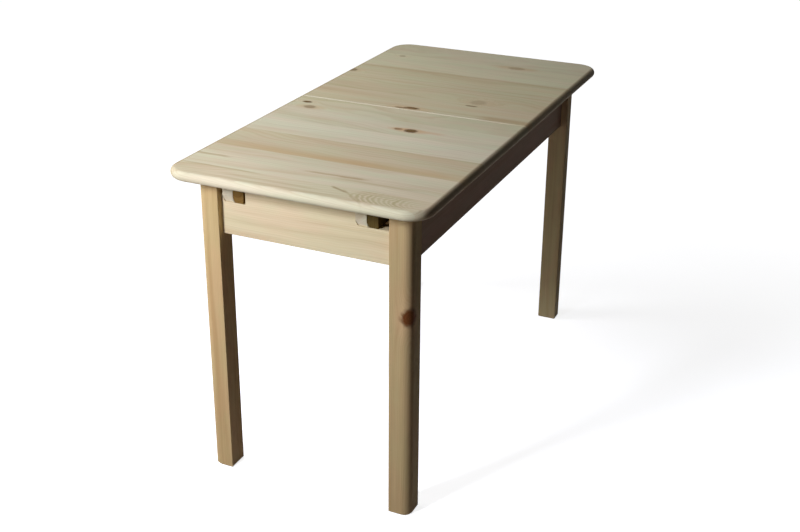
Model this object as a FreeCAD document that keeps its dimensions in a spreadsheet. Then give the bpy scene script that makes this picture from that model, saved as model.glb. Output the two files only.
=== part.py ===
import FreeCAD, Part
import os
import re

import Sketcher

# Small extending table in pine: a fixed frame, two top halves that slide apart, and a stored leaf.
#
# Frame of the model, in millimetres: X runs across the table, Y along it, Z up. The origin is on the
# floor, under the middle of the closed table. The near end is at -Y and the left side at -X.
# Every size is a cell of the sheet "Sizes", and every sub-part is bound to those cells.

# ---------------------------------------------------------------------------------------------
# Driving dimensions: name, millimetres (or a count), what it is
# ---------------------------------------------------------------------------------------------
SIZES = [
    ("top_length", 1200.0, "closed top, along Y"),
    ("top_width", 600.0, "top, along X"),
    ("table_height", 740.0, "floor to the upper face of the top"),
    ("top_thickness", 22.0, "glued pine panel"),
    ("top_corner_radius", 55.0, "rounded corners of the top in plan"),
    ("bullnose_flat", 0.2, "flat left at the middle of the rounded edge"),
    ("seam_gap", 0.6, "between the two closed halves"),
    ("seam_chamfer", 1.8, "eased edges along the seam"),
    ("overhang_end", 56.0, "top edge to the outer face of a leg, along Y"),
    ("overhang_side", 51.0, "top edge to the outer face of a leg, along X"),
    ("slide_gap", 0.3, "running gap under everything that slides"),
    ("leg_size", 50.0, "square leg"),
    ("leg_round", 20.0, "outer upright edge of a leg"),
    ("leg_arris", 1.5, "the other three upright edges"),
    ("foot_chamfer", 3.0, "round the foot of a leg"),
    ("apron_height", 131.0, "top panel down to the lower edge of the aprons"),
    ("apron_thickness", 22.0, "all four aprons"),
    ("end_recess", 16.0, "leg face to end apron face"),
    ("side_recess", 17.0, "leg face to side apron face"),
    ("apron_arris", 1.0, "lower outer edge of an apron"),
    ("rail_width", 25.0, "guide rails and runners"),
    ("rail_height", 56.0, "guide rails and runners"),
    ("moulding_bevel_width", 5.0, "lower left edge of guide rails and runners"),
    ("moulding_bevel_height", 10.0, "lower left edge of guide rails and runners"),
    ("rail_play", 0.3, "side gap between a rail and its runner"),
    ("rail_proud", 1.5, "guide rail end in front of the end apron"),
    ("rail_leg_gap", 3.5, "left guide rail to the leg beside it"),
    ("rail_notch_gap", 0.5, "guide rail to the side and bevel of its notch"),
    ("lane_width", 30.7, "free lane from the right runner to the leg beside it"),
    ("lead_height", 14.0, "bevel under the ends of a guide rail"),
    ("lead_depth", 5.0, "bevel under the ends of a guide rail"),
    ("tongue_height", 10.0, "tongue of a runner"),
    ("tongue_depth", 7.0, "tongue of a runner"),
    ("tongue_rise", 32.0, "runner underside to tongue underside"),
    ("groove_play", 0.3, "groove clear of the tongue all round"),
    ("notch_play", 5.0, "free width to the right of the left runner"),
    ("runner_setback", 3.0, "inner end of a runner to the seam"),
    ("travel_spare", 5.0, "travel of each half beyond half the leaf"),
    ("cross_rail_height", 40.0, "bearers under the guide rails"),
    ("cross_rail_thickness", 25.0, "bearers under the guide rails"),
    ("leaf_bearing", 50.0, "middle of a bearer to the end of the stored leaf"),
    ("tie_rail_setback", 91.0, "middle of an outer bearer to the end apron"),
    ("leaf_clearance", 1.6, "stored leaf's pins to the runner beside them"),
    ("leaf_arris", 1.0, "long edges of the leaf"),
    ("pin_diameter", 8.0, "locating pins along the seam"),
    ("pin_length", 30.0, "locating pins along the seam"),
    ("pin_reach", 10.0, "how far a pin stands out"),
    ("pin_play", 0.1, "radial, pin in its open hole"),
    ("pin_spacing", 200.0, "between the three pins"),
    ("glue_play", 0.05, "radial, dowel or screw in its own hole"),
    ("hole_slack", 1.0, "depth left free under a dowel or screw"),
    ("dowel_diameter", 8.0, "frame dowels"),
    ("dowel_length", 40.0, "frame dowels"),
    ("apron_dowel_low", 18.0, "lower dowel above the lower edge of the apron"),
    ("side_dowel_step", 12.0, "upper end dowel to the lower side dowel in a leg"),
    ("apron_dowel_rise", 36.0, "lower dowel to upper dowel"),
    ("bearer_dowel_length", 30.0, "dowels from a bearer into a side apron"),
    ("bearer_dowel_low", 11.0, "lower dowel above the underside of a bearer"),
    ("bearer_dowel_rise", 18.0, "lower dowel to upper dowel"),
    ("screw_diameter", 4.5, "shank of the wood screws"),
    ("screw_head", 9.0, "head diameter"),
    ("screw_head_height", 3.0, "head"),
    ("counterbore", 10.0, "diameter of the sinkings for the screw heads"),
    ("runner_screw_length", 40.0, "runner to top panel"),
    ("runner_screw_bite", 15.0, "length of that screw in the panel"),
    ("runner_screw_margin", 60.0, "end of the runner to its first screw"),
    ("bearer_screw_length", 50.0, "bearer to guide rail"),
    ("bearer_screw_bite", 20.0, "length of that screw in the rail"),
    ("block_screw_length", 25.0, "corner block to apron"),
    ("block_screw_bite", 16.0, "length of that screw in the apron"),
    ("block_screw_low", 15.0, "lower screw above the underside of the block"),
    ("block_screw_rise", 30.0, "lower screw to upper screw"),
    ("stop_diameter", 10.0, "stop dowels under the runners"),
    ("stop_length", 30.0, "stop dowels under the runners"),
    ("stop_reach", 12.0, "how far a stop dowel stands out"),
    ("block_inner", 38.0, "corner to the near side of the block, along the apron"),
    ("block_width", 40.0, "width of the block, along the apron"),
    ("block_height", 60.0, "corner blocks"),
    ("block_rise", 6.0, "lower edge of the apron to the block"),
    ("bolt_diameter", 8.0, "hanger bolts"),
    ("bolt_length", 80.0, "hanger bolts"),
    ("bolt_bite", 30.0, "length of a hanger bolt in the leg"),
    ("bolt_play", 0.5, "radial, bolt through the block"),
    ("washer_diameter", 20.0, "under the nut"),
    ("washer_thickness", 1.6, "under the nut"),
    ("nut_flats", 13.0, "across the flats"),
    ("nut_height", 6.5, "hexagon nut"),
]
ROOT_HALF = "0.70710678118654752"
ROOT_THREE = "1.7320508075688772"
SAME_PLACE = 0.01     # millimetres within which two places count as one

doc = FreeCAD.newDocument("extending_table")
sheet = doc.addObject("Spreadsheet::Sheet", "Sizes")
for row, (alias, value, note) in enumerate(SIZES, start=1):
    sheet.set("A%d" % row, note)
    sheet.set("B%d" % row, repr(value))
    sheet.setAlias("B%d" % row, alias)
doc.recompute()

NAMES = re.compile(r"\b(" + "|".join(alias for alias, value, note in SIZES) + r")\b")


def bound(text):
    """Point each size named in a formula at its cell of the sheet."""
    return NAMES.sub(r"Sizes.\1", text)


# ---------------------------------------------------------------------------------------------
# Places worked out from the sizes, as formulas
# ---------------------------------------------------------------------------------------------
UNDERSIDE = "(table_height - top_thickness)"
FRAME_TOP = "(%s - slide_gap)" % UNDERSIDE
APRON_BASE = "(%s - apron_height)" % UNDERSIDE
LEG_X = "(top_width / 2 - overhang_side)"
LEG_Y = "(top_length / 2 - overhang_end)"
INNER_X = "(%s - leg_size)" % LEG_X
INNER_Y = "(%s - leg_size)" % LEG_Y
END_FACE = "(%s - end_recess)" % LEG_Y
END_BACK = "(%s - apron_thickness)" % END_FACE
SIDE_FACE = "(%s - side_recess)" % LEG_X
SIDE_BACK = "(%s - apron_thickness)" % SIDE_FACE
RAIL_SEAT = "(%s - rail_height)" % FRAME_TOP
RUNNER_BASE = "(%s - rail_height)" % UNDERSIDE
RAIL_END = "(%s + rail_proud)" % END_FACE
RAIL_X = {"left": "(rail_leg_gap - %s)" % INNER_X,
          "right": "(%s - lane_width - 2 * rail_width - rail_play)" % INNER_X}
RUNNER_X = {side: "(%s + rail_width + rail_play)" % RAIL_X[side] for side in RAIL_X}
RUNNER_LENGTH = "(%s - runner_setback)" % END_FACE
BEARER_BASE = "(%s - cross_rail_height)" % RAIL_SEAT
BLOCK_BASE = "(%s + block_rise)" % APRON_BASE
HALF_LENGTH = "(top_length / 2 - seam_gap / 2)"
BEARER_Y = "(top_width / 2 - leaf_bearing)"
BEARER_ROWS = {"cross_rail": BEARER_Y, "tie_rail": "(%s - tie_rail_setback)" % END_BACK}
STORE_LEFT = "(%s + rail_width)" % RUNNER_X["left"]
LEAF_LEFT = "(%s + leaf_clearance + pin_reach)" % STORE_LEFT
LEAF_WIDTH = "(%s - %s - 2 * (leaf_clearance + pin_reach))" % (RAIL_X["right"], STORE_LEFT)
TRAVEL = "(%s / 2 + travel_spare)" % LEAF_WIDTH
LEAF_BASE = "(%s + slide_gap)" % RAIL_SEAT
STOP_Y = "(%s - cross_rail_thickness / 2 - %s - stop_diameter / 2)" % (BEARER_Y, TRAVEL)
SCREW_PITCH = "((%s - 2 * runner_screw_margin) / 2)" % RUNNER_LENGTH

sub_parts = []


# ---------------------------------------------------------------------------------------------
# Helpers: bodies, sketches and holes
# ---------------------------------------------------------------------------------------------
def place(thing, x, y, z, axis=None, angle=0.0):
    """Turn a sub-part about an axis and bind its position to formulas."""
    if axis is not None:
        thing.Placement = FreeCAD.Placement(FreeCAD.Vector(0, 0, 0), FreeCAD.Rotation(axis, angle))
    for letter, formula in zip("xyz", (x, y, z)):
        thing.setExpression(".Placement.Base." + letter, bound(formula))


def new_body(label):
    body = doc.addObject("PartDesign::Body", label)
    body.Label = label
    sub_parts.append(body)
    return body


def sketch_on(body, role, offset="0"):
    """A sketch on one of the body's origin planes, moved along that plane's normal."""
    plane = [feature for feature in body.Origin.OriginFeatures if feature.Role == role][0]
    sketch = body.newObject("Sketcher::SketchObject", "Sketch")
    sketch.AttachmentSupport = [(plane, "")]
    sketch.MapMode = "FlatFace"
    if offset != "0":
        sketch.setExpression(".AttachmentOffset.Base.z", bound(offset))
    return sketch


def pin_point(sketch, line, end, u, v):
    """Fix one point of a sketch at (u, v) from the sketch's origin."""
    for kind, axis, formula in (("DistanceX", -2, u), ("DistanceY", -1, v)):
        if formula == "0":
            sketch.addConstraint(Sketcher.Constraint("PointOnObject", line, end, axis))
        else:
            index = sketch.addConstraint(Sketcher.Constraint(kind, -1, 1, line, end, 1.0))
            sketch.setExpression("Constraints[%d]" % index, bound(formula))


def add_polygon(sketch, corners):
    """A closed outline through corners given as pairs of formulas."""
    count = len(corners)
    guess = [FreeCAD.Vector(float(i), float(i * i), 0) for i in range(count)]
    first = sketch.GeometryCount
    for i in range(count):
        sketch.addGeometry(Part.LineSegment(guess[i], guess[(i + 1) % count]), False)
    for i in range(count):
        following = first + (i + 1) % count
        sketch.addConstraint(Sketcher.Constraint("Coincident", first + i, 2, following, 1))
    for i, (u, v) in enumerate(corners):
        pin_point(sketch, first + i, 1, u, v)


def add_rectangle(sketch, u, v, wide, tall):
    """An upright rectangle from its lower left corner, by formulas."""
    right = wide if u == "0" else "%s + %s" % (u, wide)
    upper = tall if v == "0" else "%s + %s" % (v, tall)
    add_polygon(sketch, [(u, v), (right, v), (right, upper), (u, upper)])


def add_circles(sketch, centres, radius):
    for u, v in centres:
        start = Part.Circle(FreeCAD.Vector(1, 1, 0), FreeCAD.Vector(0, 0, 1), 0.5)
        circle = sketch.addGeometry(start, False)
        index = sketch.addConstraint(Sketcher.Constraint("Radius", circle, 0.5))
        sketch.setExpression("Constraints[%d]" % index, bound(radius))
        pin_point(sketch, circle, 3, u, v)


def pad(body, sketch, length, reverse=False):
    feature = body.newObject("PartDesign::Pad", "Pad")
    feature.Profile = sketch
    feature.setExpression("Length", bound(length))
    feature.Reversed = reverse
    doc.recompute()
    return feature


def pocket(body, sketch, depth, reverse=False):
    """Cut a sketch into the body, against its normal, or along it with reverse."""
    before = body.Tip.Shape.Volume
    feature = body.newObject("PartDesign::Pocket", "Pocket")
    feature.Profile = sketch
    if depth == "all":
        feature.Type = "ThroughAll"
    else:
        feature.setExpression("Length", bound(depth))
    feature.Reversed = reverse
    doc.recompute()
    if not feature.Shape.Volume < before:
        raise RuntimeError(body.Label + ": a pocket cut nothing")
    return feature


def drill(body, role, offset, centres, radius, depth, reverse=False):
    """Round holes of one size, from one plane."""
    sketch = sketch_on(body, role, offset)
    add_circles(sketch, centres, radius)
    return pocket(body, sketch, depth, reverse)


def dress(body, kind, size, chosen):
    """Fillet or chamfer the edges of the body for which chosen(edge, box) holds."""
    base = body.Tip
    box = base.Shape.BoundBox
    names = ["Edge%d" % (i + 1) for i, edge in enumerate(base.Shape.Edges) if chosen(edge, box)]
    if not names:
        raise RuntimeError(body.Label + ": no edge to dress")
    feature = body.newObject("PartDesign::" + kind, kind)
    feature.Base = (base, names)
    feature.setExpression("Radius" if kind == "Fillet" else "Size", bound(size))
    doc.recompute()
    return feature


def near(a, b):
    return abs(a - b) < SAME_PLACE


def along(edge, axis):
    """True where a straight edge runs along "X", "Y" or "Z"."""
    box = edge.BoundBox
    spans = {"X": box.XLength, "Y": box.YLength, "Z": box.ZLength}
    return spans[axis] > SAME_PLACE and sum(spans.values()) - spans[axis] < SAME_PLACE


def group(label, members):
    """Identical fasteners as one node of separate solids."""
    compound = doc.addObject("Part::Compound", label)
    compound.Label = label
    compound.Links = members
    sub_parts.append(compound)
    return compound


def cylinder(label, radius, height, x, y, z, direction):
    """A round bar that starts at (x, y, z) and runs along a direction."""
    bar = doc.addObject("Part::Cylinder", label)
    bar.setExpression("Radius", bound(radius))
    bar.setExpression("Height", bound(height))
    turn = FreeCAD.Rotation(FreeCAD.Vector(0, 0, 1), direction)
    bar.Placement = FreeCAD.Placement(FreeCAD.Vector(0, 0, 0), turn)
    for letter, formula in zip("xyz", (x, y, z)):
        bar.setExpression(".Placement.Base." + letter, bound(formula))
    return bar


def signed(sign, formula):
    return formula if sign > 0 else "-(%s)" % formula


def offset_by(formula, sign, amount):
    """formula + sign * amount, for one coordinate of a place."""
    return "%s %s (%s)" % (formula, "+" if sign > 0 else "-", amount)


def wood_screw(label, length, x, y, z, direction):
    """A pan-head screw: the head's seat at (x, y, z), the shank along the direction."""
    shank = cylinder(label + "_shank", "screw_diameter / 2", length, x, y, z, direction)
    start = [x, y, z]
    for i, part_of in enumerate(direction):
        if abs(part_of) > 0.5:
            start[i] = offset_by(start[i], -part_of, "screw_head_height")
    head = cylinder(label + "_head", "screw_head / 2", "screw_head_height", *start, direction)
    screw = doc.addObject("Part::Fuse", label)
    screw.Base = head
    screw.Tool = shank
    return screw


X_AXIS = FreeCAD.Vector(1, 0, 0)
Y_AXIS = FreeCAD.Vector(0, 1, 0)
Z_AXIS = FreeCAD.Vector(0, 0, 1)

BLOCK_MIDDLE = "(block_inner + block_width / 2)"
BLOCK_SCREW_Z = ["block_screw_low", "block_screw_low + block_screw_rise"]
BLOCK_SEAT = "(block_screw_length - block_screw_bite)"
END_DOWEL_Z = ["apron_dowel_low", "apron_dowel_low + apron_dowel_rise"]
SIDE_DOWEL_LOW = END_DOWEL_Z[1] + " + side_dowel_step"
SIDE_DOWEL_Z = [SIDE_DOWEL_LOW, SIDE_DOWEL_LOW + " + apron_dowel_rise"]
BEARER_DOWEL_Z = ["bearer_dowel_low", "bearer_dowel_low + bearer_dowel_rise"]
DOWEL_HOLE = "dowel_diameter / 2 + glue_play"
DOWEL_DEPTH = "dowel_length / 2 + hole_slack"
SCREW_HOLE = "screw_diameter / 2 + glue_play"
PIN_X = ["-pin_spacing", "0", "pin_spacing"]
RUNNER_SCREW_Y = ["runner_screw_margin", "runner_screw_margin + " + SCREW_PITCH,
                  "runner_screw_margin + 2 * " + SCREW_PITCH]


# ---------------------------------------------------------------------------------------------
# Frame
# ---------------------------------------------------------------------------------------------
def make_leg(label, quarter_turns, sign_x, sign_y):
    """A square leg whose own x and y point into the table, turned to its corner."""
    body = new_body(label)
    sketch = sketch_on(body, "XY_Plane")
    add_rectangle(sketch, "0", "0", "leg_size", "leg_size")
    pad(body, sketch, FRAME_TOP)
    dress(body, "Fillet", "leg_round",
          lambda edge, box: along(edge, "Z") and edge.CenterOfMass.x < 1 and edge.CenterOfMass.y < 1)
    dress(body, "Chamfer", "foot_chamfer", lambda edge, box: near(edge.BoundBox.ZMax, box.ZMin))
    dress(body, "Fillet", "leg_arris",
          lambda edge, box: along(edge, "Z") and (near(edge.CenterOfMass.x, box.XMax)
                                                  or near(edge.CenterOfMass.y, box.YMax)))
    end_holes = [("end_recess + apron_thickness / 2", "%s + %s" % (APRON_BASE, rise))
                 for rise in END_DOWEL_Z]
    side_holes = [("side_recess + apron_thickness / 2", "%s + %s" % (APRON_BASE, rise))
                  for rise in SIDE_DOWEL_Z]
    swapped = quarter_turns % 2 == 1
    on_x_face = side_holes if swapped else end_holes
    on_y_face = end_holes if swapped else side_holes
    drill(body, "YZ_Plane", "leg_size", on_x_face, DOWEL_HOLE, DOWEL_DEPTH)
    drill(body, "XZ_Plane", "-leg_size", on_y_face, DOWEL_HOLE, DOWEL_DEPTH, True)
    bolt_hole = body.newObject("PartDesign::SubtractiveCylinder", "BoltHole")
    bolt_hole.setExpression("Radius", bound("bolt_diameter / 2 + glue_play"))
    bolt_hole.setExpression("Height", bound("2 * bolt_bite"))
    inward = FreeCAD.Rotation(Z_AXIS, FreeCAD.Vector(1, 1, 0))
    bolt_hole.Placement = FreeCAD.Placement(FreeCAD.Vector(0, 0, 0), inward)
    for letter in "xy":
        start = "leg_size - (bolt_bite + hole_slack) * " + ROOT_HALF
        bolt_hole.setExpression(".Placement.Base." + letter, bound(start))
    bolt_hole.setExpression(".Placement.Base.z", bound(BLOCK_BASE + " + block_height / 2"))
    doc.recompute()
    place(body, signed(sign_x, LEG_X), signed(sign_y, LEG_Y), "0", Z_AXIS, 90.0 * quarter_turns)


def make_end_apron(label, y_formula, back_offset, towards_front):
    """A board between two legs, notched from above for the guide rails and runners."""
    body = new_body(label)
    sketch = sketch_on(body, "XY_Plane")
    add_rectangle(sketch, "0", "0", "2 * " + INNER_X, "apron_thickness")
    pad(body, sketch, "apron_height - slide_gap")
    left_end = "%s + %s + rail_width + notch_play" % (INNER_X, RUNNER_X["left"])
    right_end = "2 * " + INNER_X
    right_start = "%s + %s - rail_notch_gap" % (INNER_X, RAIL_X["right"])
    floor = "%s - %s" % (RAIL_SEAT, APRON_BASE)
    notches = (("0", left_end, "rail_leg_gap"), (right_start, right_end, "rail_notch_gap"))
    for start, end, side_gap in notches:
        run = "(moulding_bevel_width + %s - rail_notch_gap)" % side_gap
        rise = "%s * moulding_bevel_height / moulding_bevel_width" % run
        top = floor + " + rail_height"
        notch = sketch_on(body, "XZ_Plane")
        add_polygon(notch, [("%s + %s" % (start, run), floor), (end, floor), (end, top), (start, top),
                            (start, "%s + %s" % (floor, rise))])
        pocket(body, notch, "all")
    dress(body, "Chamfer", "apron_arris",
          lambda edge, box: along(edge, "X") and near(edge.CenterOfMass.z, box.ZMin))
    for offset, reverse in (("0", True), ("2 * " + INNER_X, False)):
        drill(body, "YZ_Plane", offset, [("apron_thickness / 2", rise) for rise in END_DOWEL_Z],
              DOWEL_HOLE, DOWEL_DEPTH, reverse)
    centres = [("%s %s (%s - %s)" % (INNER_X, sign, SIDE_BACK, BLOCK_MIDDLE), "block_rise + " + rise)
               for sign in "-+" for rise in BLOCK_SCREW_Z]
    drill(body, "XZ_Plane", back_offset, centres, SCREW_HOLE, "block_screw_bite + hole_slack", towards_front)
    place(body, "-" + INNER_X, y_formula, APRON_BASE)


def make_side_apron(label, x_formula, inner_face, outward):
    """A board along the side, with dowel holes in its ends and for the bearers."""
    body = new_body(label)
    sketch = sketch_on(body, "XY_Plane")
    add_rectangle(sketch, "0", "0", "apron_thickness", "2 * " + INNER_Y)
    pad(body, sketch, "apron_height - slide_gap")
    dress(body, "Chamfer", "apron_arris",
          lambda edge, box: along(edge, "Y") and near(edge.CenterOfMass.z, box.ZMin))
    for offset, reverse in (("0", False), ("-2 * " + INNER_Y, True)):
        drill(body, "XZ_Plane", offset, [("apron_thickness / 2", rise) for rise in SIDE_DOWEL_Z],
              DOWEL_HOLE, DOWEL_DEPTH, reverse)
    base = "%s - %s" % (BEARER_BASE, APRON_BASE)
    centres = [("%s %s %s" % (INNER_Y, sign, row), "%s + %s" % (base, rise))
               for row in BEARER_ROWS.values() for sign in "-+" for rise in BEARER_DOWEL_Z]
    drill(body, "YZ_Plane", inner_face, centres, DOWEL_HOLE, "apron_thickness / 2 + hole_slack", outward)
    centres = [("%s %s (%s - %s)" % (INNER_Y, sign, END_BACK, BLOCK_MIDDLE), "block_rise + " + rise)
               for sign in "-+" for rise in BLOCK_SCREW_Z]
    drill(body, "YZ_Plane", inner_face, centres, SCREW_HOLE, "block_screw_bite + hole_slack", outward)
    place(body, x_formula, "-" + INNER_Y, APRON_BASE)


def make_bearer(label, sign, row):
    """A bearer between the side aprons, under both guide rails."""
    body = new_body(label)
    sketch = sketch_on(body, "XY_Plane")
    add_rectangle(sketch, "0", "0", "2 * " + SIDE_BACK, "cross_rail_thickness")
    pad(body, sketch, "cross_rail_height")
    depth = "bearer_dowel_length - apron_thickness / 2 + hole_slack"
    for offset, reverse in (("0", True), ("2 * " + SIDE_BACK, False)):
        drill(body, "YZ_Plane", offset, [("cross_rail_thickness / 2", rise) for rise in BEARER_DOWEL_Z],
              DOWEL_HOLE, depth, reverse)
    centres = [("%s + %s + rail_width / 2" % (SIDE_BACK, RAIL_X[side]), "cross_rail_thickness / 2")
               for side in RAIL_X]
    drill(body, "XY_Plane", "0", centres, SCREW_HOLE, "all", True)
    seat = "cross_rail_height - (bearer_screw_length - bearer_screw_bite)"
    drill(body, "XY_Plane", "0", centres, "counterbore / 2", seat, True)
    dress(body, "Chamfer", "apron_arris",
          lambda edge, box: along(edge, "X") and near(edge.CenterOfMass.z, box.ZMin))
    place(body, "-" + SIDE_BACK, offset_by(signed(sign, row), -1, "cross_rail_thickness / 2"),
          BEARER_BASE)


def moulding_section(sketch, left):
    """The section of guide rails and runners, bevelled at its lower left."""
    add_polygon(sketch, [("%s + moulding_bevel_width" % left, "0"), ("%s + rail_width" % left, "0"),
                         ("%s + rail_width" % left, "rail_height"), (left, "rail_height"),
                         (left, "moulding_bevel_height")])


def make_guide_rail(label, side):
    """A grooved moulding through both end aprons, bevelled under its ends."""
    body = new_body(label)
    sketch = sketch_on(body, "XZ_Plane")
    moulding_section(sketch, "0")
    pad(body, sketch, "2 * " + RAIL_END, True)
    groove = sketch_on(body, "XZ_Plane")
    add_rectangle(groove, "rail_width - tongue_depth - groove_play", "tongue_rise + slide_gap - groove_play",
                  "tongue_depth + groove_play", "tongue_height + 2 * groove_play")
    pocket(body, groove, "all")
    far_end = "2 * " + RAIL_END
    for foot, toe in (("lead_depth", "0"), (far_end + " - lead_depth", far_end)):
        bevel = sketch_on(body, "YZ_Plane")
        add_polygon(bevel, [(foot, "0"), (toe, "0"), (toe, "lead_height")])
        pocket(body, bevel, "all", True)
    centres = [("rail_width / 2", "%s %s %s" % (RAIL_END, sign, row))
               for row in BEARER_ROWS.values() for sign in "-+"]
    drill(body, "XY_Plane", "0", centres, SCREW_HOLE, "bearer_screw_bite + hole_slack", True)
    place(body, RAIL_X[side], "-" + RAIL_END, RAIL_SEAT)


def make_corner_block(label, quarter_turns, sign_x, sign_y):
    """A diagonal block screwed to two aprons, its own x and y along them, away from the leg."""
    body = new_body(label)
    sketch = sketch_on(body, "XY_Plane")
    outer = "block_inner + block_width"
    add_polygon(sketch, [("block_inner", "0"), (outer, "0"), ("0", outer), ("0", "block_inner")])
    pad(body, sketch, "block_height")
    centres = [(BLOCK_MIDDLE, rise) for rise in BLOCK_SCREW_Z]
    drill(body, "XZ_Plane", "0", centres, SCREW_HOLE, "all")
    drill(body, "XZ_Plane", "-" + BLOCK_SEAT, centres, "counterbore / 2", "all")
    drill(body, "YZ_Plane", "0", centres, SCREW_HOLE, "all", True)
    drill(body, "YZ_Plane", BLOCK_SEAT, centres, "counterbore / 2", "all", True)
    bolt_hole = body.newObject("PartDesign::SubtractiveCylinder", "BoltHole")
    bolt_hole.setExpression("Radius", bound("bolt_diameter / 2 + bolt_play"))
    bolt_hole.setExpression("Height", bound(outer))
    across = FreeCAD.Rotation(Z_AXIS, FreeCAD.Vector(1, 1, 0))
    bolt_hole.Placement = FreeCAD.Placement(FreeCAD.Vector(0, 0, 0), across)
    x_shift, y_shift = bolt_shift(quarter_turns)
    bolt_hole.setExpression(".Placement.Base.x", bound(x_shift))
    bolt_hole.setExpression(".Placement.Base.y", bound(y_shift))
    bolt_hole.setExpression(".Placement.Base.z", bound("block_height / 2"))
    doc.recompute()
    place(body, signed(sign_x, SIDE_BACK), signed(sign_y, END_BACK), BLOCK_BASE, Z_AXIS,
          90.0 * quarter_turns)


def bolt_shift(quarter_turns):
    """Where the bolt's line, through the leg's inner edge, meets the axes of a corner block."""
    gap_x = "%s - %s" % (SIDE_BACK, INNER_X)
    gap_y = "%s - %s" % (END_BACK, INNER_Y)
    if quarter_turns % 2 == 1:
        return gap_y, gap_x
    return gap_x, gap_y


def on_bolt(sign_x, sign_y, distance):
    """A place on a leg's bolt, at a distance inward from the inner edge of the leg."""
    step = "(%s) * %s" % (distance, ROOT_HALF)
    return (offset_by(signed(sign_x, INNER_X), -sign_x, step),
            offset_by(signed(sign_y, INNER_Y), -sign_y, step), BLOCK_BASE + " + block_height / 2")


def make_corner_fasteners():
    """Screws, hanger bolts, washers and nuts of the four corner blocks."""
    screws = []
    bolts = []
    washers = []
    nuts = []
    for i, (sign_x, sign_y) in enumerate(CORNERS):
        for level, rise in enumerate(BLOCK_SCREW_Z):
            height = "%s + %s" % (BLOCK_BASE, rise)
            x_mid = offset_by(signed(sign_x, SIDE_BACK), -sign_x, BLOCK_MIDDLE)
            y_seat = offset_by(signed(sign_y, END_BACK), -sign_y, BLOCK_SEAT)
            screws.append(wood_screw("block_screw_%d_%d_end" % (i, level), "block_screw_length",
                                     x_mid, y_seat, height, Y_AXIS * sign_y))
            x_seat = offset_by(signed(sign_x, SIDE_BACK), -sign_x, BLOCK_SEAT)
            y_mid = offset_by(signed(sign_y, END_BACK), -sign_y, BLOCK_MIDDLE)
            screws.append(wood_screw("block_screw_%d_%d_side" % (i, level), "block_screw_length",
                                     x_seat, y_mid, height, X_AXIS * sign_x))
        inward = FreeCAD.Vector(-sign_x, -sign_y, 0)
        bolts.append(cylinder("bolt_%d" % i, "bolt_diameter / 2", "bolt_length",
                              *on_bolt(sign_x, sign_y, "-bolt_bite"), inward))
        gap_x = "(%s - %s)" % (INNER_X, SIDE_BACK)
        gap_y = "(%s - %s)" % (INNER_Y, END_BACK)
        face = "(block_inner + block_width + %s + %s) * %s" % (gap_x, gap_y, ROOT_HALF)
        washers.append(ring("washer_%d" % i, "washer_diameter / 2", "washer_thickness",
                            on_bolt(sign_x, sign_y, face), inward, False))
        nuts.append(ring("nut_%d" % i, "nut_flats / " + ROOT_THREE, "nut_height",
                         on_bolt(sign_x, sign_y, face + " + washer_thickness"), inward, True))
    group("corner_block_screws", screws)
    group("leg_bolts", bolts)
    group("leg_bolt_washers", washers)
    group("leg_bolt_nuts", nuts)


def ring(label, outer, height, start, direction, hexagonal):
    """A washer, or a hexagon nut, round the bolt."""
    blank = doc.addObject("Part::Prism" if hexagonal else "Part::Cylinder", label + "_blank")
    if hexagonal:
        blank.Polygon = 6
        blank.setExpression("Circumradius", bound(outer))
    else:
        blank.setExpression("Radius", bound(outer))
    blank.setExpression("Height", bound(height))
    turn = FreeCAD.Rotation(Z_AXIS, direction)
    blank.Placement = FreeCAD.Placement(FreeCAD.Vector(0, 0, 0), turn)
    for letter, formula in zip("xyz", start):
        blank.setExpression(".Placement.Base." + letter, bound(formula))
    bore = cylinder(label + "_bore", "bolt_diameter / 2 + glue_play", height, *start, direction)
    cut = doc.addObject("Part::Cut", label)
    cut.Base = blank
    cut.Tool = bore
    return cut


def make_frame_dowels():
    """Glued dowels: aprons into legs, and bearers into side aprons."""
    apron_dowels = []
    bearer_dowels = []
    for i, (sign_x, sign_y) in enumerate(CORNERS):
        x_end = offset_by(signed(sign_x, INNER_X), sign_x, "dowel_length / 2")
        y_mid = offset_by(signed(sign_y, END_FACE), -sign_y, "apron_thickness / 2")
        for level, rise in enumerate(END_DOWEL_Z):
            apron_dowels.append(cylinder("end_dowel_%d_%d" % (i, level), "dowel_diameter / 2",
                                         "dowel_length", x_end, y_mid,
                                         "%s + %s" % (APRON_BASE, rise), X_AXIS * -sign_x))
        y_end = offset_by(signed(sign_y, INNER_Y), sign_y, "dowel_length / 2")
        x_mid = offset_by(signed(sign_x, SIDE_FACE), -sign_x, "apron_thickness / 2")
        for level, rise in enumerate(SIDE_DOWEL_Z):
            apron_dowels.append(cylinder("side_dowel_%d_%d" % (i, level), "dowel_diameter / 2",
                                         "dowel_length", x_mid, y_end,
                                         "%s + %s" % (APRON_BASE, rise), Y_AXIS * -sign_y))
        x_end = offset_by(signed(sign_x, SIDE_BACK), sign_x, "apron_thickness / 2")
        for bearer, row in BEARER_ROWS.items():
            for level, rise in enumerate(BEARER_DOWEL_Z):
                bearer_dowels.append(cylinder("%s_dowel_%d_%d" % (bearer, i, level), "dowel_diameter / 2",
                                              "bearer_dowel_length", x_end, signed(sign_y, row),
                                              "%s + %s" % (BEARER_BASE, rise), X_AXIS * -sign_x))
    group("apron_dowels", apron_dowels)
    group("cross_rail_dowels", bearer_dowels)


def make_rail_screws():
    """Screws that hold the guide rails down on the bearers."""
    screws = []
    seat = "%s - (bearer_screw_length - bearer_screw_bite)" % RAIL_SEAT
    for side in RAIL_X:
        for bearer, row in BEARER_ROWS.items():
            for sign in (-1, 1):
                label = "%s_screw_%s_%d" % (bearer, side, sign + 1)
                screws.append(wood_screw(label, "bearer_screw_length", RAIL_X[side] + " + rail_width / 2",
                                         signed(sign, row), seat, Z_AXIS))
    group("guide_rail_screws", screws)


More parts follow.
